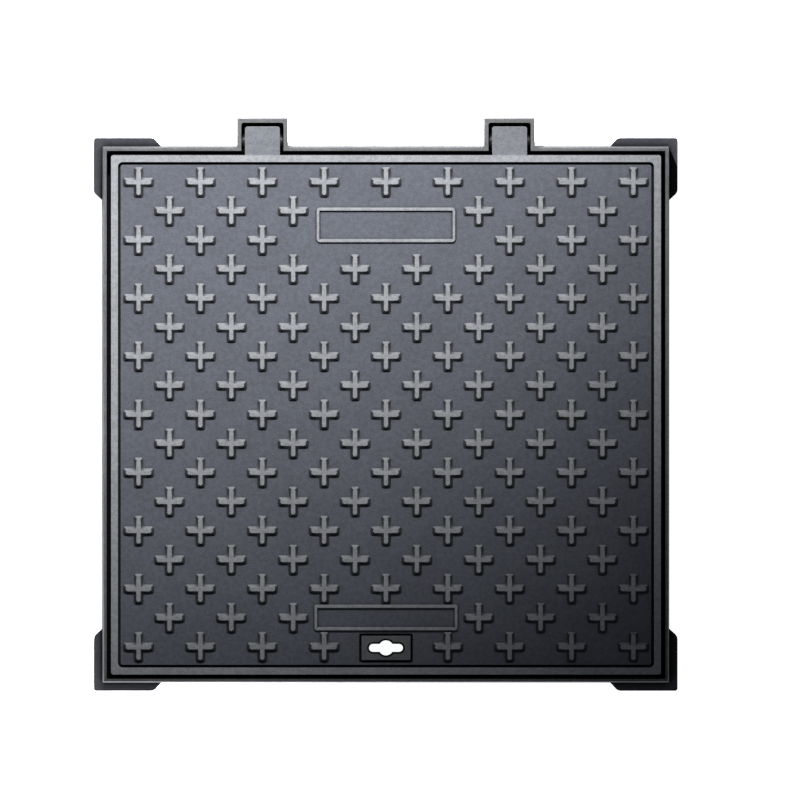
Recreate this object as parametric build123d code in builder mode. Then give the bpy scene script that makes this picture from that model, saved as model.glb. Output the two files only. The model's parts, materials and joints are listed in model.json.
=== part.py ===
# Hinged access cover in a cast frame: X across, Y toward the hinges, Z up.
# The origin is the centre of the clear opening, on the frame's underside.
import os
from math import atan, degrees, radians, tan

from build123d import *

os.makedirs("parts", exist_ok=True)

# Frame
frame_height = 80.0
rim_length = 700.0  # outside of the rim, along X
rim_width = 662.0  # outside of the rim, along Y
rim_wall = 3.8
rim_corner = 9.0
wall_corner = 2.0  # outside corners of the walls and the hinge boxes
wall_flare = 2.8  # how far the wall leans out on its way down
inner_lean = 1.0  # how far the inside leans in between the rim and the seat
base_wall = 5.0
opening_length = 638.0
opening_width = 600.0
opening_corner = 30.0
seat_top = 46.0
seat_thickness = 8.0
gusset_thickness = 7.0
gusset_toe = 6.0  # height of a gusset's lowest point above the base
gussets_per_side = 4
gusset_spacing = 145.0

# Corner feet
foot_length = 725.8  # over all feet, along X
foot_width = 687.6
foot_thickness = 10.0
foot_leg_x = 74.5  # straight part of the legs along X
foot_leg_y = 68.0
foot_bevel = 12.6
foot_shoulder = 9.0  # radius where a leg turns into its bevel
foot_corner = 3.0

# Seat strips
strip_width = 11.8
strip_thickness = 6.0
groove_width = 12.2
groove_depth = 3.0

# Cover
cover_length = 682.8
cover_width = 644.8
cover_corner = 3.0
cover_height = 31.0
edge_draft = 4.5  # degrees
edge_wall = 10.0
border = 8.6
border_groove = 3.3
field_drop = 4.0
groove_drop = 6.0
plate_thickness = 8.0
rib_thickness = 8.0
rib_height = 16.0
rib_spacing_x = 102.4
rib_spacing_y = 108.0
ribs_x = 6
ribs_y = 5

# Tread studs
stud_rows = 17
stud_columns = 9
stud_pitch_x = 76.8  # between studs in one row
stud_pitch_y = 36.07  # between rows
stud_first_y = 288.6
stud_length = 38.3
stud_base = 11.8
stud_draft = 40.0  # degrees
stud_free = {1: 60, 2: 100, 15: 60, 16: 30}  # row: half of the middle stretch without studs

# Label panels: size of the ridge's centreline, and its height up the cover
top_panel = (168.8, 39.1, 235.4)
bottom_panel = (174.2, 27.8, -252.1)
ridge_width = 4.6
ridge_height = 2.6

# Key block
key_y = -289.4
block_length = 62.0
block_width = 31.3
block_height = 13.0
block_drop = 1.0  # below the border's face
block_gap = 2.1
slot_length = 42.1
slot_width = 9.9
slot_eye = 18.6
slot_bevel = 1.4
boss_rim = 10.0
boss_floor = 8.0
key_hole = (43.0, 22.0)
block_screw_x = 26.5
block_screw_radius = 2.5
screw_length = 16.0
screw_head_radius = 4.25
screw_head_height = 5.0
screw_socket = 4.0  # across the flats

# Hinges
hinge_x = 153.4
axis_y = 339.2
axis_z = 68.0
pocket_width = 52.5
pocket_end = 362.7
pocket_floor = 42.0
pocket_floor_thickness = 6.0
pocket_corner = 3.0
box_end_wall = 4.4
ear_width = 43.1
ear_end = 357.9
ear_thickness = 10.0
knuckle_radius = 11.0
pin_radius = 6.0
pin_clearance = 0.05
washer_radius = 10.5
washer_thickness = 1.6
ring_radius = 8.6
ring_thickness = 1.2
ring_groove_radius = 5.4
ring_mouth = 6.0
side_gap = 0.1  # between washer, ring and knuckle

cover_bottom = frame_height - cover_height
field_z = frame_height - field_drop
plate_bottom = field_z - plate_thickness
edge_lean = cover_height * tan(radians(edge_draft))
seat_span = frame_height - seat_top
inner_length = rim_length - 2 * rim_wall
inner_width = rim_width - 2 * rim_wall
wall_draft = degrees(atan(wall_flare / frame_height))
inner_draft = degrees(atan(inner_lean / seat_span))
box_width = pocket_width + 2 * rim_wall
box_end = pocket_end + box_end_wall
strip_x = cover_length / 2 - edge_lean - edge_wall / 2  # centreline of the side strips
strip_y = cover_width / 2 - edge_lean - edge_wall / 2
under_length = rim_length + 2 * wall_flare - 2 * base_wall
under_width = rim_width + 2 * wall_flare - 2 * base_wall
ledge_underside = seat_top - seat_thickness
block_bottom = frame_height - block_drop - block_height
sides = (-1, 1)


def stud_places():
    """Centres of the studs, leaving room for the panels and the key block."""
    places = []
    for row in range(stud_rows):
        y = stud_first_y - row * stud_pitch_y
        in_row = stud_columns - row % 2
        for column in range(in_row):
            x = (column - (in_row - 1) / 2) * stud_pitch_x
            if abs(x) >= stud_free.get(row, 0):
                places.append((x, y))
    return places


# Frame: walls with hinge boxes, a seat ledge with gussets, corner feet
with BuildPart() as frame:
    box_depth = box_end + wall_flare - inner_width / 2
    with BuildSketch():
        Rectangle(rim_length + 2 * wall_flare, rim_width + 2 * wall_flare)
        with Locations(*[(side * hinge_x, inner_width / 2 + box_depth / 2) for side in sides]):
            Rectangle(box_width + 2 * wall_flare, box_depth)
        fillet(vertices(), radius=wall_corner)
    extrude(amount=frame_height, taper=wall_draft)

    # The boxes stop short of the base
    with BuildSketch():
        with Locations((0, rim_width / 2 + wall_flare + box_depth)):
            Rectangle(rim_length, 2 * box_depth)
    extrude(amount=pocket_floor - pocket_floor_thickness, mode=Mode.SUBTRACT)

    # Room for the cover, above the seat
    with BuildSketch(Plane.XY.offset(frame_height)):
        RectangleRounded(inner_length, inner_width, rim_corner - rim_wall)
    extrude(amount=-seat_span, taper=inner_draft, mode=Mode.SUBTRACT)

    # Clear opening through the seat, and the hollow under the ledge
    with BuildSketch():
        RectangleRounded(opening_length, opening_width, opening_corner)
    extrude(amount=frame_height, mode=Mode.SUBTRACT)
    with BuildSketch():
        RectangleRounded(under_length, under_width, rim_corner - rim_wall)
    extrude(amount=ledge_underside, mode=Mode.SUBTRACT)

    # Pockets in the hinge boxes, each open to the room for the cover
    pocket_start = inner_width / 2 - inner_lean
    with BuildSketch(Plane.XY.offset(pocket_floor)):
        with Locations(*[(side * hinge_x, (pocket_start + pocket_end) / 2) for side in sides]):
            Rectangle(pocket_width, pocket_end - pocket_start)
        fillet(vertices().group_by(Axis.Y)[-1], radius=pocket_corner)
    extrude(amount=frame_height, mode=Mode.SUBTRACT)

    # Pin holes
    for side in sides:
        with BuildSketch(Plane.YZ.offset(side * hinge_x)):
            with Locations((axis_y, axis_z)):
                Circle(pin_radius)
        extrude(amount=box_width, both=True, mode=Mode.SUBTRACT)

    # Grooves for the seat strips
    with BuildSketch(Plane.XY.offset(seat_top)):
        Rectangle(2 * strip_x + groove_width, 2 * strip_y + groove_width)
        Rectangle(2 * strip_x - groove_width, 2 * strip_y - groove_width, mode=Mode.SUBTRACT)
    extrude(amount=-groove_depth, mode=Mode.SUBTRACT)

    # Gussets between the ledge and each wall
    for outward, inside, wall in (
        (Vector(1, 0, 0), opening_length / 2, under_length / 2),
        (Vector(-1, 0, 0), opening_length / 2, under_length / 2),
        (Vector(0, 1, 0), opening_width / 2, under_width / 2),
        (Vector(0, -1, 0), opening_width / 2, under_width / 2),
    ):
        along = outward.cross(Vector(0, 0, 1))
        for number in range(gussets_per_side):
            shift = (number - (gussets_per_side - 1) / 2) * gusset_spacing
            with BuildSketch(Plane(origin=along * shift, x_dir=outward, z_dir=along)):
                with BuildLine():
                    Polyline(
                        (inside, ledge_underside + 1),
                        (inside, ledge_underside - gusset_toe),
                        (wall, gusset_toe),
                        (wall + 1, gusset_toe),
                        (wall + 1, ledge_underside + 1),
                        close=True,
                    )
                make_face()
            extrude(amount=gusset_thickness / 2, both=True)

    # Feet: an L at each corner, its two ends bevelled
    x_out = foot_length / 2
    y_out = foot_width / 2
    x_in = rim_length / 2 - 1
    y_in = rim_width / 2 - 1
    with BuildSketch() as foot:
        with BuildLine():
            FilletPolyline(
                (x_out - foot_leg_x - foot_bevel, y_in),
                (x_out - foot_leg_x, y_out),
                (x_out, y_out),
                (x_out, y_out - foot_leg_y),
                (x_in, y_out - foot_leg_y - foot_bevel),
                radius=[foot_shoulder, foot_corner, foot_shoulder],
            )
            Polyline(
                (x_in, y_out - foot_leg_y - foot_bevel),
                (x_in, y_in),
                (x_out - foot_leg_x - foot_bevel, y_in),
            )
        make_face()
        mirror(about=Plane.YZ)
        mirror(about=Plane.XZ)
    extrude(amount=foot_thickness)

frame.part.label = "frame"
export_step(frame.part, "parts/frame.step")

# Seat strips: the north and south ones run full length, the others fit between them
strip_z = seat_top - groove_depth
long_strip = 2 * strip_x + strip_width
short_strip = 2 * strip_y - groove_width
for name, x, y, length, width in (
    ("seat_strip_north", 0, strip_y, long_strip, strip_width),
    ("seat_strip_south", 0, -strip_y, long_strip, strip_width),
    ("seat_strip_east", strip_x, 0, strip_width, short_strip),
    ("seat_strip_west", -strip_x, 0, strip_width, short_strip),
):
    with BuildPart() as strip:
        with BuildSketch(Plane.XY.offset(strip_z)):
            with Locations((x, y)):
                Rectangle(length, width)
        extrude(amount=strip_thickness)
    strip.part.label = name
    export_step(strip.part, f"parts/{name}.step")

# Cover: tapered slab, hollowed from below, with ribs, ears, tread and key pocket
with BuildPart() as cover:
    with BuildSketch(Plane.XY.offset(frame_height)):
        RectangleRounded(cover_length, cover_width, cover_corner)
    extrude(amount=-cover_height, taper=edge_draft)

    # Hollow underneath
    hollow_length = cover_length - 2 * edge_lean - 2 * edge_wall
    hollow_width = cover_width - 2 * edge_lean - 2 * edge_wall
    with BuildSketch(Plane.XY.offset(cover_bottom)):
        RectangleRounded(hollow_length, hollow_width, edge_wall)
    extrude(amount=plate_bottom - cover_bottom, mode=Mode.SUBTRACT)

    # Ribs both ways, and a boss around the key pocket
    pocket_length = block_length + 2 * block_gap
    pocket_depth = block_width + 2 * block_gap
    with BuildSketch(Plane.XY.offset(plate_bottom - rib_height)):
        with GridLocations(rib_spacing_x, 0, ribs_x, 1):
            Rectangle(rib_thickness, hollow_width + 2)
        with GridLocations(0, rib_spacing_y, 1, ribs_y):
            Rectangle(hollow_length + 2, rib_thickness)
    extrude(amount=rib_height + 1)
    with BuildSketch(Plane.XY.offset(block_bottom - boss_floor)):
        with Locations((0, key_y)):
            RectangleRounded(pocket_length + 2 * boss_rim, pocket_depth + 2 * boss_rim, boss_rim)
    extrude(amount=plate_bottom + 1 - block_bottom + boss_floor)

    # Sunk field and the groove around it
    groove_length = cover_length - 2 * border
    groove_across = cover_width - 2 * border
    field_length = groove_length - 2 * border_groove
    field_across = groove_across - 2 * border_groove
    with BuildSketch(Plane.XY.offset(frame_height)):
        RectangleRounded(groove_length, groove_across, 6)
    extrude(amount=-field_drop, mode=Mode.SUBTRACT)
    with BuildSketch(Plane.XY.offset(field_z)):
        RectangleRounded(groove_length, groove_across, 6)
        RectangleRounded(field_length, field_across, 6 - border_groove, mode=Mode.SUBTRACT)
    extrude(amount=field_drop - groove_drop, mode=Mode.SUBTRACT)

    # Tread studs: tapered pluses, as high as the border
    with BuildSketch(Plane.XY.offset(field_z)):
        with Locations(*stud_places()):
            Rectangle(stud_length, stud_base)
            Rectangle(stud_base, stud_length)
    extrude(amount=field_drop, taper=stud_draft)

    # Ridges around the label panels
    with BuildSketch(Plane.XY.offset(field_z)):
        for length, width, y in (top_panel, bottom_panel):
            with Locations((0, y)):
                Rectangle(length + ridge_width, width + ridge_width)
                Rectangle(length - ridge_width, width - ridge_width, mode=Mode.SUBTRACT)
    extrude(amount=ridge_height)

    # Pocket for the key block, and the hole in its floor that the key passes through
    with BuildSketch(Plane.XY.offset(block_bottom)):
        with Locations((0, key_y)):
            RectangleRounded(pocket_length, pocket_depth, block_gap)
    extrude(amount=frame_height, mode=Mode.SUBTRACT)
    with BuildSketch(Plane.XY.offset(cover_bottom)):
        with Locations((0, key_y)):
            RectangleRounded(*key_hole, 3)
        with Locations(*[(side * block_screw_x, key_y) for side in sides]):
            Circle(block_screw_radius + 0.25)
    extrude(amount=frame_height, mode=Mode.SUBTRACT)

    # Ears, and under each a knuckle joined to the edge wall
    ear_start = cover_width / 2 - border + 1
    web_start = cover_width / 2 - edge_wall + 2
    with BuildSketch(Plane.XY.offset(frame_height)):
        with Locations(*[(side * hinge_x, (ear_start + ear_end) / 2) for side in sides]):
            Rectangle(ear_width, ear_end - ear_start)
        fillet(vertices().group_by(Axis.Y)[-1], radius=pocket_corner)
    extrude(amount=-ear_thickness)
    for side in sides:
        with BuildSketch(Plane.YZ.offset(side * hinge_x)):
            with Locations((axis_y, axis_z)):
                Circle(knuckle_radius)
            with BuildLine():
                Polyline(
                    (axis_y, axis_z - knuckle_radius),
                    (axis_y, frame_height - ear_thickness / 2),
                    (web_start, frame_height - ear_thickness / 2),
                    (web_start, axis_z - knuckle_radius),
                    close=True,
                )
            make_face()
        extrude(amount=ear_width / 2, both=True)
        with BuildSketch(Plane.YZ.offset(side * hinge_x)):
            with Locations((axis_y, axis_z)):
                Circle(pin_radius + pin_clearance)
        extrude(amount=ear_width, both=True, mode=Mode.SUBTRACT)

cover.part.label = "cover"
export_step(cover.part, "parts/cover.step")

# Key block, with its through slot and two threaded holes from below
with BuildPart() as key_block:
    with BuildSketch(Plane.XY.offset(block_bottom)):
        with Locations((0, key_y)):
            Rectangle(block_length, block_width)
            SlotOverall(slot_length, slot_width, mode=Mode.SUBTRACT)
            Circle(slot_eye / 2, mode=Mode.SUBTRACT)
    extrude(amount=block_height)
    chamfer(faces().sort_by(Axis.Z)[-1].outer_wire().edges(), length=0.8)
    chamfer(faces().sort_by(Axis.Z)[-1].inner_wires()[0].edges(), length=slot_bevel)
    with BuildSketch(Plane.XY.offset(block_bottom)):
        with Locations(*[(side * block_screw_x, key_y) for side in sides]):
            Circle(block_screw_radius)
    extrude(amount=screw_length - boss_floor + 1, mode=Mode.SUBTRACT)

key_block.part.label = "key_block"
export_step(key_block.part, "parts/key_block.step")

# Socket screws that hold the key block from below
for side, end in zip(sides, ("left", "right")):
    head_z = block_bottom - boss_floor
    with BuildPart() as screw:
        with BuildSketch(Plane.XY.offset(head_z)):
            with Locations((side * block_screw_x, key_y)):
                Circle(block_screw_radius - 0.02)
        extrude(amount=screw_length)
        with BuildSketch(Plane.XY.offset(head_z)):
            with Locations((side * block_screw_x, key_y)):
                Circle(screw_head_radius)
        extrude(amount=-screw_head_height)
        with BuildSketch(Plane.XY.offset(head_z - screw_head_height)):
            with Locations((side * block_screw_x, key_y)):
                RegularPolygon(screw_socket / 2, 6, major_radius=False)
        extrude(amount=screw_head_height / 2, mode=Mode.SUBTRACT)
        chamfer(faces().sort_by(Axis.Z)[0].outer_wire().edges(), length=0.5)
    name = f"key_block_screw_{end}"
    screw.part.label = name
    export_step(screw.part, f"parts/{name}.step")

# Hinge pins with their retaining rings and washers, all on the hinge axis
washer_start = ear_width / 2 + side_gap
ring_start = washer_start + washer_thickness + side_gap
for side, end in zip(sides, ("left", "right")):
    with BuildPart() as pin:
        with BuildSketch(Plane.YZ.offset(side * hinge_x)):
            with Locations((axis_y, axis_z)):
                Circle(pin_radius)
        extrude(amount=box_width / 2, both=True)
        chamfer(edges().group_by(Axis.X)[0] + edges().group_by(Axis.X)[-1], length=0.6)
        for facing in sides:
            start = side * hinge_x + facing * ring_start
            with BuildSketch(Plane.YZ.offset(start)):
                with Locations((axis_y, axis_z)):
                    Circle(pin_radius + 1)
                    Circle(ring_groove_radius, mode=Mode.SUBTRACT)
            extrude(amount=facing * ring_thickness, mode=Mode.SUBTRACT)
    pin.part.label = f"hinge_pin_{end}"
    export_step(pin.part, f"parts/hinge_pin_{end}.step")

    for facing in sides:
        place = "inner" if facing == -side else "outer"
        with BuildPart() as washer:
            with BuildSketch(Plane.YZ.offset(side * hinge_x + facing * washer_start)):
                with Locations((axis_y, axis_z)):
                    Circle(washer_radius)
                    Circle(pin_radius + pin_clearance, mode=Mode.SUBTRACT)
            extrude(amount=facing * washer_thickness)
        washer.part.label = f"hinge_washer_{end}_{place}"
        export_step(washer.part, f"parts/hinge_washer_{end}_{place}.step")

        with BuildPart() as ring:
            with BuildSketch(Plane.YZ.offset(side * hinge_x + facing * ring_start)):
                with Locations((axis_y, axis_z)):
                    Circle(ring_radius)
                    Circle(ring_groove_radius, mode=Mode.SUBTRACT)
                with Locations((axis_y, axis_z - ring_radius)):
                    Rectangle(ring_mouth, 2 * ring_radius - ring_groove_radius, mode=Mode.SUBTRACT)
            extrude(amount=facing * ring_thickness)
        ring.part.label = f"retaining_ring_{end}_{place}"
        export_step(ring.part, f"parts/retaining_ring_{end}_{place}.step")
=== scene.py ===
import json
from math import atan, cos, pi, radians, sin

import bmesh
import bpy
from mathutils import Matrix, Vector


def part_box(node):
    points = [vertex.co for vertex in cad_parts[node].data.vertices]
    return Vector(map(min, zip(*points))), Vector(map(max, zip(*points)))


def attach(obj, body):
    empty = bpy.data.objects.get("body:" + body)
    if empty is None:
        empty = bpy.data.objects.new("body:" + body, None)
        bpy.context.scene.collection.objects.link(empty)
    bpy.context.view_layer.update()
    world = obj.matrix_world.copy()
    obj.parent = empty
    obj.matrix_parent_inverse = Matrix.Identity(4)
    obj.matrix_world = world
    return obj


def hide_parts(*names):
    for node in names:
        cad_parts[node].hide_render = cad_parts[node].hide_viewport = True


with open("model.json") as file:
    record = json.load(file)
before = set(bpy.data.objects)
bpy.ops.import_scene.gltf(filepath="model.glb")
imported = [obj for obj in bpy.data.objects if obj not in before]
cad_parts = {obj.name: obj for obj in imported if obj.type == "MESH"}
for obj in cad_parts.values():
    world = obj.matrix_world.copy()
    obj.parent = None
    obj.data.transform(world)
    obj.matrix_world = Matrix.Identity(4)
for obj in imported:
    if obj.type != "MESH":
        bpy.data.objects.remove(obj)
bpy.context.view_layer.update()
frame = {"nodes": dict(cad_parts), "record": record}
scene = bpy.context.scene
nodes = frame["nodes"]
record = frame["record"]
bodyOf = {node: body for body, members in record["behaviour"]["bodies"].items() for node in members}
slotOf = {part["node"]: part["material_slot"] for part in record["subparts"]}
coverLow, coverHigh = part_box("cover")
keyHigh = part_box("key_block")[1]
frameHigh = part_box("frame")[1]
print("frame loaded:", len(nodes), "CAD nodes")

shot = {
    "lens": 1600,  # mm: long enough to show almost no perspective
    "span": 0.99304,  # width of the picture on the cover's face, m
    "centre": (0.01735, 0.01845),
    "lean": (-0.0062, 0.0085),  # how far the camera stands off the vertical, per metre of height
}
camera = bpy.data.objects.new("camera", bpy.data.cameras.new("camera"))
scene.collection.objects.link(camera)
camera.data.lens = shot["lens"]
camera.data.clip_end = 100
distance = shot["span"] / 2 / (camera.data.sensor_width / 2 / shot["lens"])
target = Vector((*shot["centre"], coverHigh.z))
leanX, leanY = shot["lean"]
camera.location = target + Vector((leanX, leanY, 1)) * distance
camera.rotation_euler = (-atan(leanY), atan(leanX), 0)
scene.camera = camera
scene.view_settings.view_transform = "Standard"


def hangLamp(name, data, look):
    data.energy = look["watts"]
    lamp = bpy.data.objects.new(name, data)
    lamp.location = look["place"]
    lamp.rotation_euler = (Vector(look["aim"]) - lamp.location).to_track_quat("-Z", "Y").to_euler()
    scene.collection.objects.link(lamp)
    return lamp


# A spotlight with a soft edge, aimed past the hinges so that it fades towards the far corner
keyLamp = {
    "place": (-0.2665, 1.6304, 1.5845),
    "aim": (-0.413, 1.2, 0.076),
    "cone": 1.432,  # radians
    "blend": 0.5,
    "radius": 0.06,
    "watts": 1080,
}
data = bpy.data.lights.new("keySpot", "SPOT")
data.spot_size = keyLamp["cone"]
data.spot_blend = keyLamp["blend"]
data.shadow_soft_size = keyLamp["radius"]
hangLamp("keySpot", data, keyLamp)

# A low strip beside the near side, under the level of the cover, for the feet there
kickLamp = {
    "place": (-0.34, -0.66, 0.07),
    "aim": (-0.20, -0.33, 0.0),
    "length": 0.5,
    "width": 0.04,
    "watts": 12,
}
data = bpy.data.lights.new("kickStrip", "AREA")
data.shape = "RECTANGLE"
data.size = kickLamp["length"]
data.size_y = kickLamp["width"]
hangLamp("kickStrip", data, kickLamp).visible_camera = False

# The camera sees a pale backdrop, and the object a dim room
roomLook = {"colour": (0.85, 0.92, 1.0, 1), "strength": 0.29, "backdrop": (0.93, 0.94, 0.95, 1)}
world = bpy.data.worlds.new("studio")
scene.world = world
world.use_nodes = True
sky = world.node_tree
room = sky.nodes["Background"]
room.inputs["Color"].default_value = roomLook["colour"]
room.inputs["Strength"].default_value = roomLook["strength"]
backdrop = sky.nodes.new("ShaderNodeBackground")
backdrop.inputs["Color"].default_value = roomLook["backdrop"]
seen = sky.nodes.new("ShaderNodeLightPath")
either = sky.nodes.new("ShaderNodeMixShader")
sky.links.new(seen.outputs["Is Camera Ray"], either.inputs["Fac"])
sky.links.new(room.outputs["Background"], either.inputs[1])
sky.links.new(backdrop.outputs["Background"], either.inputs[2])
sky.links.new(either.outputs["Shader"], sky.nodes["World Output"].inputs["Surface"])

floorLook = {"size": 60.0, "colour": (0.85, 0.86, 0.87, 1), "glow": 1.15}
bpy.ops.mesh.primitive_plane_add(size=floorLook["size"])
floor = bpy.context.object
floor.name = "floor"
paper = bpy.data.materials.new("paper")
paper.use_nodes = True
paperShader = paper.node_tree.nodes["Principled BSDF"]
paperShader.inputs["Base Color"].default_value = floorLook["colour"]
paperShader.inputs["Roughness"].default_value = 0.9
paperShader.inputs["Emission Color"].default_value = floorLook["colour"]
paperShader.inputs["Emission Strength"].default_value = floorLook["glow"]
floor.data.materials.append(paper)
print("stage set")


def shaderGroup(name, inputs, outputs):
    # inputs are (name, socket type, value), outputs are (name, socket type)
    group = bpy.data.node_groups.new(name, "ShaderNodeTree")
    for label, kind, value in inputs:
        socket = group.interface.new_socket(label, in_out="INPUT", socket_type=kind)
        if value is not None:
            socket.default_value = value
    for label, kind in outputs:
        group.interface.new_socket(label, in_out="OUTPUT", socket_type=kind)
    return group, group.nodes.new("NodeGroupInput"), group.nodes.new("NodeGroupOutput")


def calc(tree, operation, first, second=None, third=None):
    # A Math node; numbers go on its sockets and sockets are linked
    node = tree.nodes.new("ShaderNodeMath")
    node.operation = operation
    for socket, value in zip(node.inputs, (first, second, third)):
        if value is None:
            continue
        if isinstance(value, (int, float)):
            socket.default_value = value
        else:
            tree.links.new(value, socket)
    return node.outputs[0]


def hypotenuse(tree, x, y):
    squares = calc(tree, "ADD", calc(tree, "MULTIPLY", x, x), calc(tree, "MULTIPLY", y, y))
    return calc(tree, "SQRT", squares)


def blendColours(tree, mask, low, high):
    node = tree.nodes.new("ShaderNodeMix")
    node.data_type = "RGBA"
    tree.links.new(mask, node.inputs[0])
    for socket, value in ((node.inputs[6], low), (node.inputs[7], high)):
        if isinstance(value, tuple):
            socket.default_value = value
        else:
            tree.links.new(value, socket)
    return node.outputs[2]


def spread(tree, value, low, high, outLow=0.0, outHigh=1.0):
    node = tree.nodes.new("ShaderNodeMapRange")
    node.interpolation_type = "SMOOTHSTEP"
    tree.links.new(value, node.inputs["Value"])
    settings = {"From Min": low, "From Max": high, "To Min": outLow, "To Max": outHigh}
    for label, number in settings.items():
        node.inputs[label].default_value = number
    return node.outputs["Result"]


def speckle(tree, vector, scale, detail=3.0, roughness=0.55):
    node = tree.nodes.new("ShaderNodeTexNoise")
    tree.links.new(vector, node.inputs["Vector"])
    if isinstance(scale, (int, float)):
        node.inputs["Scale"].default_value = scale
    else:
        tree.links.new(scale, node.inputs["Scale"])
    node.inputs["Detail"].default_value = detail
    node.inputs["Roughness"].default_value = roughness
    return node.outputs[0]


# Sand-cast surface: fine grain for the bump, and a soft mottle for the colour
sandCast, given, made = shaderGroup(
    "sandCast",
    (
        ("Vector", "NodeSocketVector", None),
        ("Grain", "NodeSocketFloat", 700.0),
        ("Mottle", "NodeSocketFloat", 14.0),
    ),
    (("Height", "NodeSocketFloat"), ("Mottle", "NodeSocketFloat"), ("Grain", "NodeSocketFloat")),
)
fine = speckle(sandCast, given.outputs["Vector"], given.outputs["Grain"], 2.0)
coarseScale = calc(sandCast, "MULTIPLY", given.outputs["Grain"], 0.28)
coarse = speckle(sandCast, given.outputs["Vector"], coarseScale, 3.0)
coarse = calc(sandCast, "MULTIPLY", coarse, 0.45)
height = calc(sandCast, "MULTIPLY_ADD", fine, 0.55, coarse)
sandCast.links.new(height, made.inputs["Height"])
mottle = speckle(sandCast, given.outputs["Vector"], given.outputs["Mottle"], 4.0, 0.6)
sandCast.links.new(spread(sandCast, mottle, 0.3, 0.7), made.inputs["Mottle"])
sandCast.links.new(spread(sandCast, height, 0.35, 0.65), made.inputs["Grain"])

# Painted shade: darkening in corners, creases and narrow gaps, from an occlusion test
cornerShade, given, made = shaderGroup(
    "cornerShade",
    (("Reach", "NodeSocketFloat", 0.004), ("Amount", "NodeSocketFloat", 1.0)),
    (("Mask", "NodeSocketFloat"),),
)
nearby = cornerShade.nodes.new("ShaderNodeAmbientOcclusion")
nearby.samples = 6
cornerShade.links.new(given.outputs["Reach"], nearby.inputs["Distance"])
hidden = spread(cornerShade, nearby.outputs["AO"], 0.45, 0.95, 1.0, 0.0)
cornerShade.links.new(calc(cornerShade, "MULTIPLY", hidden, given.outputs["Amount"]), made.inputs["Mask"])


def place(tree, group, vector=None, **values):
    node = tree.nodes.new("ShaderNodeGroup")
    node.node_tree = group
    if vector is not None:
        tree.links.new(vector, node.inputs["Vector"])
    for label, value in values.items():
        node.inputs[label].default_value = value
    return node


def startMaterial(name):
    material = bpy.data.materials.new(name)
    material.use_nodes = True
    tree = material.node_tree
    where = tree.nodes.new("ShaderNodeTexCoord").outputs["Object"]
    return material, tree, tree.nodes["Principled BSDF"], where


def addBump(tree, shader, height, depth, strength):
    bump = tree.nodes.new("ShaderNodeBump")
    bump.inputs["Distance"].default_value = depth
    bump.inputs["Strength"].default_value = strength
    tree.links.new(height, bump.inputs["Height"])
    tree.links.new(bump.outputs["Normal"], shader.inputs["Normal"])


ironLook = {
    # Colours of the coat, lightest where traffic polishes it; the tones marked below paint shade or
    # highlight
    # Painted shade: the darkest tone, for grooves, gaps and the sides of the cover and the key insert
    "deep": (0.0015, 0.0015, 0.0018, 1),
    # Painted shade on the flanks of the studs and the panel ridges
    "flank": (0.015, 0.0156, 0.0175, 1),
    "sunk": (0.040, 0.0427, 0.0515, 1),
    "raised": (0.110, 0.113, 0.120, 1),
    # Painted highlight on faces turned to the hinges, towards the key lamp
    "litFace": (0.084, 0.0865, 0.092, 1),
    "ear": (0.060, 0.0627, 0.0700, 1),
    "wall": (0.036, 0.0366, 0.0388, 1),
    "edge": (0.125, 0.1275, 0.134, 1),
    "under": (0.036, 0.0373, 0.0405, 1),
    "insert": (0.055, 0.056, 0.059, 1),
    "rim": (0.054, 0.0548, 0.0567, 1),
    "foot": (0.0235, 0.0247, 0.0283, 1),
    # Dark tone for the random mottle and grain, and for the painted corner shade
    "dirtAndShade": (0.0015, 0.0015, 0.0018, 1),
    "grain": 620.0,
    "grainDepth": 0.0004,
    "grainDark": 0.26,
    "bump": 0.7,
    "mottle": 13.0,
    "mottleDark": 0.12,
    "cornerShadeAmount": 0.95,
    "dullBelow": (0.026, 0.042),  # greys between which the coat turns from dull to polished
    "dullness": 0.35,  # how much rougher the dull coat is
    "turned": (0.30, 0.55),  # how far a face has to turn to the hinges to get the painted highlight
    "shadeLifted": 0.85,  # share of the painted corner shade taken off there
}


def above(tree, value, level, blend):
    # 0 under the level and 1 over it
    return spread(tree, value, level, level + blend)


def below(tree, value, level, blend):
    # 1 under the level and 0 over it
    return spread(tree, value, level, level + blend, 1.0, 0.0)


def paintLitFaces(tree, spot, colour, dirtAndShade, level):
    # Painted highlight: over this level, faces turned to the hinges, towards the key lamp, get a lighter
    # tone and lose most of the painted corner shade
    facing = tree.nodes.new("ShaderNodeSeparateXYZ")
    tree.links.new(tree.nodes.new("ShaderNodeTexCoord").outputs["Normal"], facing.inputs["Vector"])
    turned = spread(tree, facing.outputs["Y"], *ironLook["turned"])
    litFace = calc(tree, "MULTIPLY", turned, above(tree, spot["Z"], level, 0.0006))
    left = calc(tree, "SUBTRACT", 1.0, calc(tree, "MULTIPLY", litFace, ironLook["shadeLifted"]))
    return blendColours(tree, litFace, colour, ironLook["litFace"]), calc(tree, "MULTIPLY", dirtAndShade, left)


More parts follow.
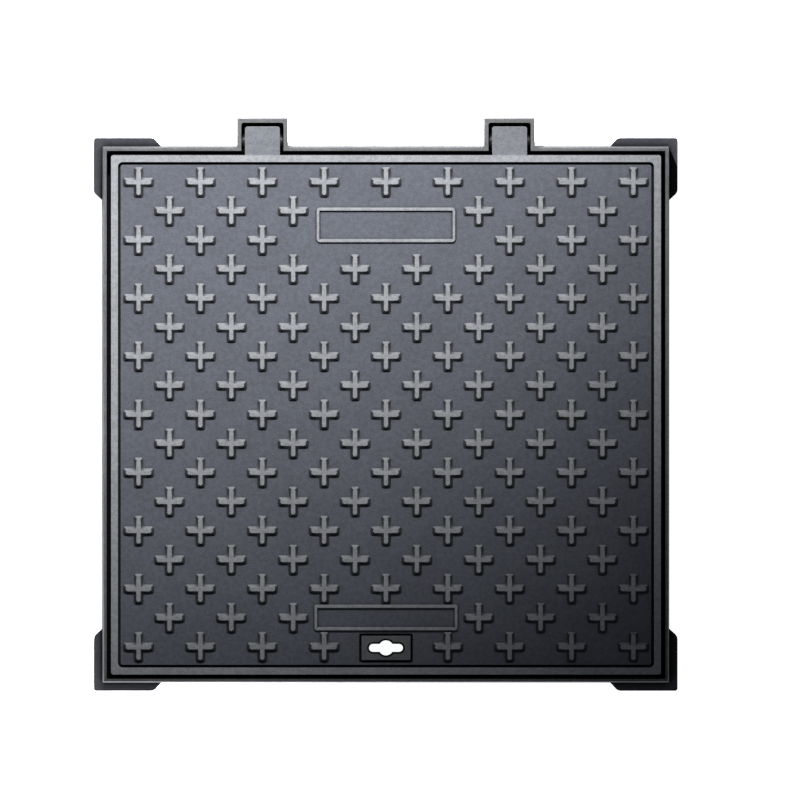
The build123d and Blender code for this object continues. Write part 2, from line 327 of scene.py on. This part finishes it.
def coatedIron(name, steps, marks=None, litFace=None, rough=0.5, gloss=0.1, reach=0.0045):
    # steps are (height, height of the blend, tone above it) from the bottom up, and with no steps the
    # whole is polished. marks gives more (mask, tone) pairs, and the fourth argument is the height of
    # the painted highlight
    material, tree, shader, where = startMaterial(name)
    cast = place(tree, sandCast, where, Grain=ironLook["grain"], Mottle=ironLook["mottle"])
    # Painted shade in corners, creases and narrow gaps
    dirtAndShade = place(tree, cornerShade, None, Reach=reach, Amount=ironLook["cornerShadeAmount"]).outputs["Mask"]
    spot = tree.nodes.new("ShaderNodeSeparateXYZ")
    tree.links.new(where, spot.inputs["Vector"])
    spot = spot.outputs
    colour = ironLook["under" if steps else "edge"]
    for level, blend, tone in steps:
        colour = blendColours(tree, above(tree, spot["Z"], level, blend), colour, ironLook[tone])
    if marks:
        for mask, tone in marks(tree, spot):
            colour = blendColours(tree, mask, colour, ironLook[tone])
    if litFace:
        colour, dirtAndShade = paintLitFaces(tree, spot, colour, dirtAndShade, litFace)
    worn = spread(tree, cast.outputs["Mottle"], 0.0, 1.0, rough, rough + 0.1)
    if steps:
        # Darker tones, painted shade among them, are duller than polished iron
        grey = tree.nodes.new("ShaderNodeRGBToBW")
        tree.links.new(colour, grey.inputs["Color"])
        dull = spread(tree, grey.outputs["Val"], *ironLook["dullBelow"], ironLook["dullness"], 0.0)
        worn = calc(tree, "ADD", worn, dull)
    tree.links.new(worn, shader.inputs["Roughness"])
    shader.inputs["Specular IOR Level"].default_value = gloss
    mottleShade = spread(tree, cast.outputs["Mottle"], 0.0, 1.0, 0.0, ironLook["mottleDark"])
    grainShade = spread(tree, cast.outputs["Grain"], 0.0, 1.0, ironLook["grainDark"], 0.0)
    # Random mottle and grain darken the colour, and the corner mask paints shade
    for mask in (mottleShade, grainShade, dirtAndShade):
        colour = blendColours(tree, mask, colour, ironLook["dirtAndShade"])
    tree.links.new(colour, shader.inputs["Base Color"])
    addBump(tree, shader, cast.outputs["Height"], ironLook["grainDepth"], ironLook["bump"])
    return material


def coverSteps(top, field):
    return (
        # The deep step is painted shade on the groove and the cover's sides, and the flank step painted
        # shade on the flanks; sunk and raised are the coat's own tones
        (field - 0.0030, 0.0002, "deep"),
        (field - 0.0004, 0.0003, "sunk"),
        (field + 0.0003, 0.0004, "flank"),
        (top - 0.0008, 0.0003, "raised"),
    )


def coverMarks(tree, spot):
    # Painted shade on the outer sides, as in the gap round the cover, and the ears that reach past the
    # border are duller than it
    wear = coverShape
    outX = calc(tree, "SUBTRACT", calc(tree, "ABSOLUTE", spot["X"]), coverHalf[0] - wear["side"])
    outY = calc(tree, "SUBTRACT", calc(tree, "ABSOLUTE", spot["Y"]), coverHalf[1] - wear["side"])
    outside = above(tree, calc(tree, "MAXIMUM", outX, outY), 0.0, 0.0005)
    low = below(tree, spot["Z"], coverHigh.z - wear["sideTop"], 0.0008)
    yield calc(tree, "MULTIPLY", outside, low), "deep"
    behind = above(tree, spot["Y"], coverHalf[1] - wear["earBlend"], 2 * wear["earBlend"])
    high = above(tree, spot["Z"], coverHigh.z - 0.0010, 0.0006)
    yield calc(tree, "MULTIPLY", behind, high), "ear"


def frameMarks(tree, spot):
    # Painted shade on the top of the inner walls and on the ledge beside them, in the gap round the
    # cover
    inX = calc(tree, "SUBTRACT", coverHalf[0] + frameShape["gap"], calc(tree, "ABSOLUTE", spot["X"]))
    inY = calc(tree, "SUBTRACT", coverHalf[1] + frameShape["gap"], calc(tree, "ABSOLUTE", spot["Y"]))
    depth = calc(tree, "MINIMUM", inX, inY)
    nearWall = below(tree, depth, frameShape["shadeReach"], 0.004)
    beside = calc(tree, "MULTIPLY", above(tree, depth, 0.0, 0.0003), nearWall)
    crest = above(tree, spot["Z"], frameShape["crest"], 0.008)
    offWall = above(tree, depth, 0.0006, 0.0006)
    ledge = calc(tree, "MULTIPLY", offWall, above(tree, spot["Z"], frameShape["ledge"], 0.007))
    yield calc(tree, "MULTIPLY", beside, calc(tree, "MAXIMUM", crest, ledge)), "deep"


def keyMarks(tree, spot):
    # Painted shade in a ring round the slot and the eye in its middle
    y = calc(tree, "SUBTRACT", spot["Y"], slotY)
    x = calc(tree, "ABSOLUTE", spot["X"])
    past = calc(tree, "SUBTRACT", x, (keySlot["length"] - keySlot["width"]) / 2)
    past = calc(tree, "MAXIMUM", past, 0.0)
    toSlot = calc(tree, "SUBTRACT", hypotenuse(tree, past, y), keySlot["width"] / 2)
    toEye = calc(tree, "SUBTRACT", hypotenuse(tree, x, y), keySlot["eye"] / 2)
    yield below(tree, calc(tree, "MINIMUM", toSlot, toEye), keySlot["shadeReach"], 0.0003), "deep"


coverShape = {
    "drop": 0.004,  # the field lies this far below the border
    "border": 0.0119,  # the border and its groove
    "side": 0.0035,  # the sides with painted shade start this far inside the outline
    "sideTop": 0.0018,  # and end this far below the border
    "earBlend": 0.0015,
    "polish": 0.0025,  # edges nearer to the top than this are polished
    "ribFoot": 0.052,  # height of the ribs' lower faces
}
coverHalf = ((coverHigh.x - coverLow.x) / 2, -coverLow.y)
fieldZ = coverHigh.z - coverShape["drop"]
litFaceLevel = fieldZ + 0.0003
coverIron = coatedIron("coverIron", coverSteps(coverHigh.z, fieldZ), coverMarks, litFaceLevel)

ridge = {"width": 0.0058, "top": 0.0026, "height": 0.0026, "sunk": 0.0004, "soft": 0.0003}
panelIron = coatedIron("panelIron", coverSteps(fieldZ + ridge["height"], fieldZ), None, litFaceLevel)

slotY = next(mount["pos_m"][1] for mount in record["mounts"] if mount["name"] == "key_slot")
# The last number is the width of the painted shade round the slot
keySlot = {"length": 0.0421, "width": 0.0099, "eye": 0.0186, "shadeReach": 0.0023}
# Under the insert's face its sides get the darkest tone: painted shade in the pocket round it
insertSteps = ((keyHigh.z - 0.0100, 0.0002, "deep"), (keyHigh.z - 0.0002, 0.0001, "insert"))
insertIron = coatedIron("insertIron", insertSteps, keyMarks)

frameShape = {
    "gap": 0.0056,  # between the cover and the frame's inner walls
    "shadeReach": 0.009,  # reach of the painted shade from the walls
    "crest": 0.060,  # the walls get painted shade from here up
    "ledge": 0.037,  # lower than the ledge
}
frameSteps = ((0.0085, 0.0003, "foot"), (0.0105, 0.0010, "wall"), (frameHigh.z - 0.0012, 0.0004, "rim"))
# The frame's painted corner shade reaches further, into the gap round the cover
frameIron = coatedIron("frameIron", frameSteps, frameMarks, gloss=0.02, reach=0.012)
polishedEdge = coatedIron("polishedEdge", (), rough=0.42)

steelLook = {
    # name: (colour, roughness)
    "pinSteel": ((0.006, 0.006, 0.0065, 1), 0.8),
    "fastenerSteel": ((0.010, 0.010, 0.011, 1), 0.5),
}


def turnedSteel(name):
    # Blackened steel with fine turning marks, matt, with painted shade and less metal where other parts
    # are close
    colour, rough = steelLook[name]
    material, tree, shader, where = startMaterial(name)
    stretch = tree.nodes.new("ShaderNodeMapping")
    stretch.inputs["Scale"].default_value = (3000, 60, 60)
    tree.links.new(where, stretch.inputs["Vector"])
    lines = speckle(tree, stretch.outputs["Vector"], 1.0, 2.0)
    stain = speckle(tree, where, 90.0, 3.0)
    # Painted shade where other parts are close
    closeShade = place(tree, cornerShade, None, Reach=0.008, Amount=1.0).outputs["Mask"]
    stained = tuple(part * 0.55 for part in colour[:3]) + (1,)
    dull = blendColours(tree, spread(tree, stain, 0.35, 0.7), colour, stained)
    tree.links.new(blendColours(tree, closeShade, dull, ironLook["dirtAndShade"]), shader.inputs["Base Color"])
    tree.links.new(spread(tree, lines, 0.2, 0.8, rough - 0.08, rough + 0.1), shader.inputs["Roughness"])
    tree.links.new(spread(tree, closeShade, 0.0, 0.3, 0.4, 0.0), shader.inputs["Metallic"])
    shader.inputs["Specular IOR Level"].default_value = 0.1
    addBump(tree, shader, lines, 0.00005, 0.4)
    return material


rubberLook = {"dark": (0.004, 0.004, 0.0045, 1), "dusty": (0.009, 0.009, 0.0095, 1)}


def sealRubber(name):
    material, tree, shader, where = startMaterial(name)
    cloud = speckle(tree, where, 40.0, 3.0)
    dust = spread(tree, cloud, 0.3, 0.7)
    colour = blendColours(tree, dust, rubberLook["dark"], rubberLook["dusty"])
    tree.links.new(colour, shader.inputs["Base Color"])
    tree.links.new(spread(tree, cloud, 0.2, 0.8, 0.62, 0.8), shader.inputs["Roughness"])
    shader.inputs["Specular IOR Level"].default_value = 0.15
    addBump(tree, shader, speckle(tree, where, 900.0, 2.0), 0.0001, 0.4)
    return material


lookOf = {
    "coated_iron_cover": coverIron,
    "coated_iron_frame": frameIron,
    "pin_steel": turnedSteel("pinSteel"),
    "fastener_steel": turnedSteel("fastenerSteel"),
    "seat_rubber": sealRubber("seatRubber"),
}
print("materials made")

rounding = {
    # angles in degrees
    "flat": 0.5,  # faces that meet in less are joined up
    "bevel": 32,  # edges over this are rounded
    "smooth": 35,  # and edges under this are shaded smooth
    "made": 60,  # the same for the pieces that the trees below make
}
touch = 1e-5  # points nearer than this are at the same height


def sharpen(mesh, angle):
    for face in mesh.polygons:
        face.use_smooth = True
    mesh.set_sharp_from_angle(angle=radians(angle))


def newObject(name, data):
    piece = bpy.data.objects.new(name, data)
    scene.collection.objects.link(piece)
    return piece


def applyAll(piece):
    # Turns a piece with modifiers into a plain mesh
    depsgraph = bpy.context.evaluated_depsgraph_get()
    plain = bpy.data.meshes.new_from_object(
        piece.evaluated_get(depsgraph), preserve_all_data_layers=True, depsgraph=depsgraph
    )
    piece.modifiers.clear()
    piece.data = plain
    return piece


def roundedCopy(node, name, radius, segments, looks=None, edit=None, grid=None):
    # A copy of a CAD node, its flat faces joined up and its edges rounded. looks are the face and
    # edge materials. At the height grid the faces stay in pieces: a grid of ribs has more holes than
    # one face can go round
    work = bmesh.new()
    work.from_mesh(nodes[node].data)
    bmesh.ops.remove_doubles(work, verts=work.verts, dist=1e-6)
    if edit:
        edit(work)
    corners = [vert for vert in work.verts if grid is None or abs(vert.co.z - grid) > touch]
    free = set(corners)
    bmesh.ops.dissolve_limit(
        work,
        angle_limit=radians(rounding["flat"]),
        use_dissolve_boundaries=False,
        verts=corners,
        edges=[edge for edge in work.edges if free.intersection(edge.verts)],
    )
    mesh = bpy.data.meshes.new(name)
    work.to_mesh(mesh)
    work.free()
    mesh.materials.clear()
    for look in looks or (lookOf[slotOf[node]],):
        mesh.materials.append(look)
    piece = newObject(name, mesh)
    bevel = piece.modifiers.new("round", "BEVEL")
    bevel.width = radius
    bevel.segments = segments
    bevel.limit_method = "ANGLE"
    bevel.angle_limit = radians(rounding["bevel"])
    bevel.miter_outer = "MITER_ARC"
    bevel.material = len(mesh.materials) - 1
    applyAll(piece)
    if len(piece.data.materials) > 1:
        keepOuterEdges(piece.data)
    evenNormals(piece, rounding["smooth"])
    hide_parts(node)
    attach(piece, bodyOf[node])
    return piece


def keepOuterEdges(mesh):
    # Only edges that stick out near the top are polished: the others go back to the first material
    polishedAbove = coverHigh.z - coverShape["polish"]
    work = bmesh.new()
    work.from_mesh(mesh)
    for face in work.faces:
        if face.material_index == 1:
            bend = sum(edge.calc_face_angle_signed(0) for edge in face.edges)
            if bend < 0.1 or face.calc_center_median().z < polishedAbove:
                face.material_index = 0
    work.to_mesh(mesh)
    work.free()


def evenNormals(piece, angle):
    sharpen(piece.data, angle)
    normals = piece.modifiers.new("even", "WEIGHTED_NORMAL")
    normals.keep_sharp = True
    applyAll(piece)


fieldHalf = [half - coverShape["border"] for half in coverHalf]


def inField(face):
    def inside(vert):
        x, y, z = vert.co
        across, along = (half + 10 * touch for half in fieldHalf)
        return z > fieldZ - touch and abs(x) < across and abs(y) < along

    return all(inside(vert) for vert in face.verts)


def clearField(work):
    # Takes the CAD studs and ridges off and closes the field again, round the key pocket
    bmesh.ops.delete(work, geom=[face for face in work.faces if inField(face)], context="FACES")
    bare = [edge for edge in work.edges if len(edge.link_faces) == 1]
    filled = bmesh.ops.triangle_fill(work, use_beauty=True, edges=bare, normal=(0, 0, 1))
    for face in filled["geom"]:
        if isinstance(face, bmesh.types.BMFace):
            face.normal_update()
            if face.normal.z < 0:
                face.normal_flip()


edgeRadius = {"cover": 0.0011, "frame": 0.0010, "keyBlock": 0.0005, "seatStrip": 0.0008}
coverLooks = (coverIron, polishedEdge)
roundedCopy("cover", "coverPlate", edgeRadius["cover"], 3, coverLooks, clearField, coverShape["ribFoot"])
roundedCopy("frame", "frameCasting", edgeRadius["frame"], 3)
roundedCopy("key_block", "keyInsert", edgeRadius["keyBlock"], 2, (insertIron,))
print("castings rounded")

smallRadius = {
    "hinge_pin": 0.0003,
    "hinge_washer": 0.0002,
    "retaining_ring": 0.00015,
    "key_block_screw": 0.0003,
}
for node in sorted(nodes):
    for family, radius in smallRadius.items():
        if node.startswith(family):
            roundedCopy(node, node + "_piece", radius, 2)
print("fasteners rounded")


def geometryTree(name, inputs):
    tree = bpy.data.node_groups.new(name, "GeometryNodeTree")
    tree.interface.new_socket("Geometry", in_out="OUTPUT", socket_type="NodeSocketGeometry")
    for label, kind in inputs:
        tree.interface.new_socket(label, in_out="INPUT", socket_type=kind)
    return tree, tree.nodes.new("NodeGroupInput"), tree.nodes.new("NodeGroupOutput")


def add(tree, kind, links=(), **values):
    # A node; links are (input name or number, socket or value), and values are its settings
    node = tree.nodes.new(kind)
    for label, value in values.items():
        setattr(node, label, value)
    for label, source in links:
        if isinstance(source, bpy.types.NodeSocket):
            tree.links.new(source, node.inputs[label])
        else:
            node.inputs[label].default_value = source
    return node


def bakeTree(name, tree, values):
    piece = newObject(name, bpy.data.meshes.new(name))
    modifier = piece.modifiers.new("nodes", "NODES")
    modifier.node_group = tree
    for socket in tree.interface.items_tree:
        if socket.in_out == "INPUT":
            modifier[socket.identifier] = values[socket.name]
    return applyAll(piece)


tread = {
    "rows": 17,
    "columns": 9,
    "pitchX": 0.0768,
    "pitchY": 0.03607,
    "firstY": 0.2886,
    "length": 0.0383,
    "base": 0.0118,
    "flank": 0.0034,
    "foot": 0.0010,  # how far the fillet at the foot spreads
    "soft": 0.0002,  # step of the roundings at the foot and the top
    "tipRadius": 0.0026,
    "tipPoints": 3,
}


def plusOutline(length, width, radius, points):
    # Counter-clockwise outline of a plus with rounded arm ends
    corners = []
    half, reach = width / 2, length / 2
    radius = min(radius, half * 0.98)
    for arm in range(4):
        turn = arm * pi / 2
        for side in (-1, 1):
            for step in range(points):
                angle = (side + 1) * pi / 4 - pi / 2 + step * pi / 2 / (points - 1)
                x = reach - radius + radius * cos(angle)
                y = side * (half - radius) + radius * sin(angle)
                corners.append((x * cos(turn) - y * sin(turn), x * sin(turn) + y * cos(turn)))
        corners.append((half * (cos(turn) - sin(turn)), half * (sin(turn) + cos(turn))))
    return corners


def studMesh():
    top, flank, soft = coverShape["drop"], tread["flank"], tread["soft"]
    rings = (
        # (growth of the outline, height), from the bottom up
        (tread["foot"], -2 * soft),
        (0.0, 2 * soft),
        (2 * soft - 2 * flank, top - 3 * soft),
        (-0.5 * soft - 2 * flank, top - soft),
        (-4 * soft - 2 * flank, top),
    )
    work = bmesh.new()
    loops = []
    for grow, z in rings:
        length, width = tread["length"] + grow, tread["base"] + grow
        outline = plusOutline(length, width, tread["tipRadius"], tread["tipPoints"])
        loops.append([work.verts.new((x, y, z)) for x, y in outline])
    for lower, upper in zip(loops, loops[1:]):
        for number in range(len(lower)):
            after = (number + 1) % len(lower)
            work.faces.new((lower[number], lower[after], upper[after], upper[number]))
    work.faces.new(loops[-1])
    work.faces.new(list(reversed(loops[0])))
    mesh = bpy.data.meshes.new("stud")
    work.to_mesh(mesh)
    work.free()
    return mesh


studTree, given, made = geometryTree(
    "treadStuds",
    (
        ("Stud", "NodeSocketObject"),
        ("Columns", "NodeSocketInt"),
        ("Rows", "NodeSocketInt"),
        ("Pitch X", "NodeSocketFloat"),
        ("Pitch Y", "NodeSocketFloat"),
        ("First Y", "NodeSocketFloat"),
        ("Level", "NodeSocketFloat"),
        ("Material", "NodeSocketMaterial"),
    ),
)


def studTreeMath(operation, first, second=0):
    return add(studTree, "ShaderNodeMath", ((0, first), (1, second)), operation=operation).outputs[0]


rowSets = []
for odd in (0, 1):
    # Even rows have one stud more than odd rows, and each set is a plain grid
    across = studTreeMath("SUBTRACT", given.outputs["Columns"], odd)
    down = studTreeMath("ADD", given.outputs["Rows"], 1 - odd)
    down = studTreeMath("FLOOR", studTreeMath("DIVIDE", down, 2))
    sizeX = studTreeMath("MULTIPLY", studTreeMath("SUBTRACT", across, 1), given.outputs["Pitch X"])
    doublePitch = studTreeMath("MULTIPLY", given.outputs["Pitch Y"], 2)
    sizeY = studTreeMath("MULTIPLY", studTreeMath("SUBTRACT", down, 1), doublePitch)
    grid = add(
        studTree,
        "GeometryNodeMeshGrid",
        (("Size X", sizeX), ("Size Y", sizeY), ("Vertices X", across), ("Vertices Y", down)),
    )
    lowered = studTreeMath("MULTIPLY", given.outputs["Pitch Y"], odd)
    firstRow = studTreeMath("SUBTRACT", given.outputs["First Y"], lowered)
    middle = studTreeMath("SUBTRACT", firstRow, studTreeMath("DIVIDE", sizeY, 2))
    offset = add(studTree, "ShaderNodeCombineXYZ", (("Y", middle), ("Z", given.outputs["Level"])))
    moved = add(
        studTree,
        "GeometryNodeTransform",
        (("Geometry", grid.outputs["Mesh"]), ("Translation", offset.outputs["Vector"])),
    )
    rowSets.append(moved.outputs["Geometry"])
together = add(studTree, "GeometryNodeJoinGeometry")
for rowSet in rowSets:
    studTree.links.new(rowSet, together.inputs["Geometry"])

# Places with no studs: (half width, low y, high y)
freeZones = (
    (0.100, 0.206, 0.262),  # upper label panel
    (0.060, -0.262, -0.242),  # lower label panel
    (0.030, -0.310, -0.270),  # key block
)
position = add(studTree, "GeometryNodeInputPosition")
axes = add(studTree, "ShaderNodeSeparateXYZ", (("Vector", position.outputs["Position"]),))
sideways = studTreeMath("ABSOLUTE", axes.outputs["X"])
taken = 0
for half, low, high in freeZones:
    near = studTreeMath("LESS_THAN", sideways, half)
    pastLow = studTreeMath("GREATER_THAN", axes.outputs["Y"], low)
    beforeHigh = studTreeMath("LESS_THAN", axes.outputs["Y"], high)
    zone = studTreeMath("MULTIPLY", near, studTreeMath("MULTIPLY", pastLow, beforeHigh))
    taken = studTreeMath("MAXIMUM", taken, zone)
kept = add(
    studTree,
    "GeometryNodeDeleteGeometry",
    (("Geometry", together.outputs["Geometry"]), ("Selection", taken)),
    domain="POINT",
)
source = add(studTree, "GeometryNodeObjectInfo", (("Object", given.outputs["Stud"]),))
placed = add(
    studTree,
    "GeometryNodeInstanceOnPoints",
    (("Points", kept.outputs["Geometry"]), ("Instance", source.outputs["Geometry"])),
)
real = add(studTree, "GeometryNodeRealizeInstances", (("Geometry", placed.outputs["Instances"]),))
painted = add(
    studTree,
    "GeometryNodeSetMaterial",
    (("Geometry", real.outputs["Geometry"]), ("Material", given.outputs["Material"])),
)
studTree.links.new(painted.outputs["Geometry"], made.inputs["Geometry"])

stud = newObject("stud", studMesh())
treadStuds = bakeTree(
    "treadStuds",
    studTree,
    {
        "Stud": stud,
        "Columns": tread["columns"],
        "Rows": tread["rows"],
        "Pitch X": tread["pitchX"],
        "Pitch Y": tread["pitchY"],
        "First Y": tread["firstY"],
        "Level": fieldZ,
        "Material": coverIron,
    },
)
bpy.data.objects.remove(stud)
evenNormals(treadStuds, rounding["made"])
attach(treadStuds, "cover")
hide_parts("cover")
print("tread studs:", len(treadStuds.data.polygons), "faces")

panels = {
    # name: (length and width of the ridge's centreline, centre y, corner radius)
    "upperPanel": (0.1688, 0.0391, 0.2354, 0.0022),
    "lowerPanel": (0.1742, 0.0278, -0.2521, 0.0008),
}

ridgeTree, given, made = geometryTree(
    "panelRidge",
    (
        ("Length", "NodeSocketFloat"),
        ("Width", "NodeSocketFloat"),
        ("Centre", "NodeSocketVector"),
        ("Corner", "NodeSocketFloat"),
        ("Profile", "NodeSocketObject"),
        ("Material", "NodeSocketMaterial"),
    ),
)
outline = add(
    ridgeTree,
    "GeometryNodeCurvePrimitiveQuadrilateral",
    (("Width", given.outputs["Length"]), ("Height", given.outputs["Width"])),
)
rounded = add(
    ridgeTree,
    "GeometryNodeFilletCurve",
    (("Curve", outline.outputs["Curve"]), ("Radius", given.outputs["Corner"]), ("Count", 3)),
    mode="POLY",
)
section = add(ridgeTree, "GeometryNodeObjectInfo", (("Object", given.outputs["Profile"]),))
swept = add(
    ridgeTree,
    "GeometryNodeCurveToMesh",
    (("Curve", rounded.outputs["Curve"]), ("Profile Curve", section.outputs["Geometry"])),
)
lifted = add(
    ridgeTree,
    "GeometryNodeTransform",
    (("Geometry", swept.outputs["Mesh"]), ("Translation", given.outputs["Centre"])),
)
solid = add(ridgeTree, "GeometryNodeRealizeInstances", (("Geometry", lifted.outputs["Geometry"]),))
painted = add(
    ridgeTree,
    "GeometryNodeSetMaterial",
    (("Geometry", solid.outputs["Geometry"]), ("Material", given.outputs["Material"])),
)
ridgeTree.links.new(painted.outputs["Geometry"], made.inputs["Geometry"])


def profileCurve(name, points):
    # A closed flat curve for sweeping; Curve to Mesh turns its -y up
    data = bpy.data.curves.new(name, "CURVE")
    data.dimensions = "2D"
    data.fill_mode = "NONE"
    line = data.splines.new("POLY")
    line.points.add(len(points) - 1)
    for point, (x, y) in zip(line.points, points):
        point.co = (x, y, 0, 1)
    line.use_cyclic_u = True
    return newObject(name, data)


foot, flat, rise, soft = ridge["width"] / 2, ridge["top"] / 2, ridge["height"], ridge["soft"]
ridgeProfile = profileCurve(
    "ridgeProfile",
    (
        (-foot, ridge["sunk"]),
        (foot, ridge["sunk"]),
        (foot - soft / 3, -soft),
        (flat + soft, soft - rise),
        (flat, -rise),
        (-flat, -rise),
        (-flat - soft, soft - rise),
        (-foot + soft / 3, -soft),
    ),
)
for name, (length, width, y, corner) in panels.items():
    panel = bakeTree(
        name,
        ridgeTree,
        {
            "Length": length,
            "Width": width,
            "Centre": (0, y, fieldZ),
            "Corner": corner,
            "Profile": ridgeProfile,
            "Material": panelIron,
        },
    )
    work = bmesh.new()
    work.from_mesh(panel.data)
    bmesh.ops.recalc_face_normals(work, faces=work.faces)
    work.to_mesh(panel.data)
    work.free()
    evenNormals(panel, rounding["made"])
    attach(panel, "cover")
    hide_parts("cover")
bpy.data.objects.remove(ridgeProfile)
print("label panels made")

for node in sorted(nodes):
    if node.startswith("seat_strip"):
        roundedCopy(node, node + "_rubber", edgeRadius["seatStrip"], 3)
print("seat strips made")
